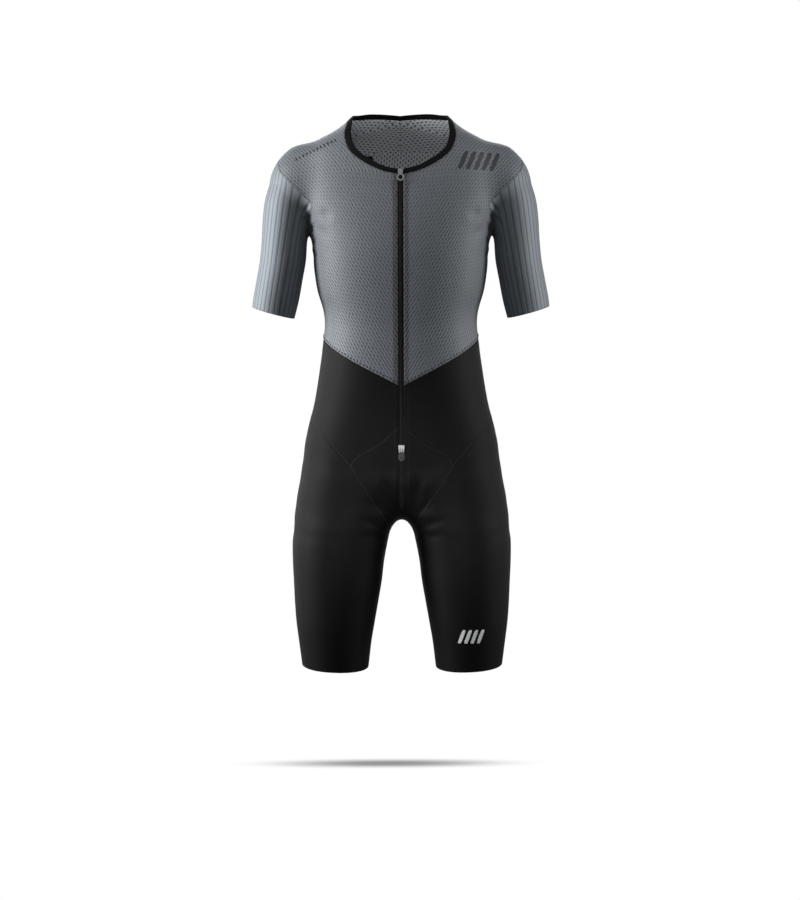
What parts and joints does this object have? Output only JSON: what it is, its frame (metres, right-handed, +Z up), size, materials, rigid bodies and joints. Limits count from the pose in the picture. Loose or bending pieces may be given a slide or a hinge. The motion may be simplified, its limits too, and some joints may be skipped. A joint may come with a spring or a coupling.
{
  "type": "cycling roadsuit",
  "caption": "Short-sleeved one-piece cycling suit with a full-length front zip, mesh top, ribbed sleeves and black shorts, filled out as worn and open at neck, cuffs and hems",
  "frame": {"origin": "midway between the two points where the shoulders meet the neck, where the wearer's shoulders hold the suit up", "axes": "+Z up, +Y to the wearer's back, +X to the wearer's left"},
  "size_m": [0.5322, 0.2358, 1.0029],
  "materials": {
    "mesh": "warp-knit mesh with staggered ovals, matte mid grey",
    "ribbed": "smooth knit with lengthwise ribs, satin grey",
    "lycra": "warp-knit elastane, satin black",
    "binding": "folded elastic binding, matte black",
    "tape": "woven polyester tape, black",
    "coil": "nylon coil, black",
    "metal": "die-cast zinc with a satin silver finish",
    "tab": "moulded rubber over a cord loop, dark grey"
  },
  "bodies": {
    "suit": {"front_left": "mesh", "front_right": "mesh", "back": "mesh", "sleeve_left": "ribbed", "sleeve_right": "ribbed", "lower_front_left": "lycra", "lower_front_right": "lycra", "crotch_left": "lycra", "crotch_right": "lycra", "leg_left": "lycra", "leg_right": "lycra", "seat": "lycra", "collar": "binding", "neck_tab": "binding", "zip_tape": "tape", "zip_coil": "coil", "slider_top": "metal", "slider_bottom": "metal"},
    "top_pull": {"pull_top": "metal"},
    "bottom_pull": {"pull_bottom": "tab"}
  },
  "joints": [
    {"name": "top_pull_hinge", "type": "hinge", "parent": "suit", "child": "top_pull", "pos_m": [0, -0.10318, -0.088], "axis": [-1, 0, 0], "range_deg": [0, 160]},
    {"name": "bottom_pull_hinge", "type": "hinge", "parent": "suit", "child": "bottom_pull", "pos_m": [0, -0.10538, -0.57147], "axis": [-1, 0, 0], "range_deg": [0, 160]}
  ]
}
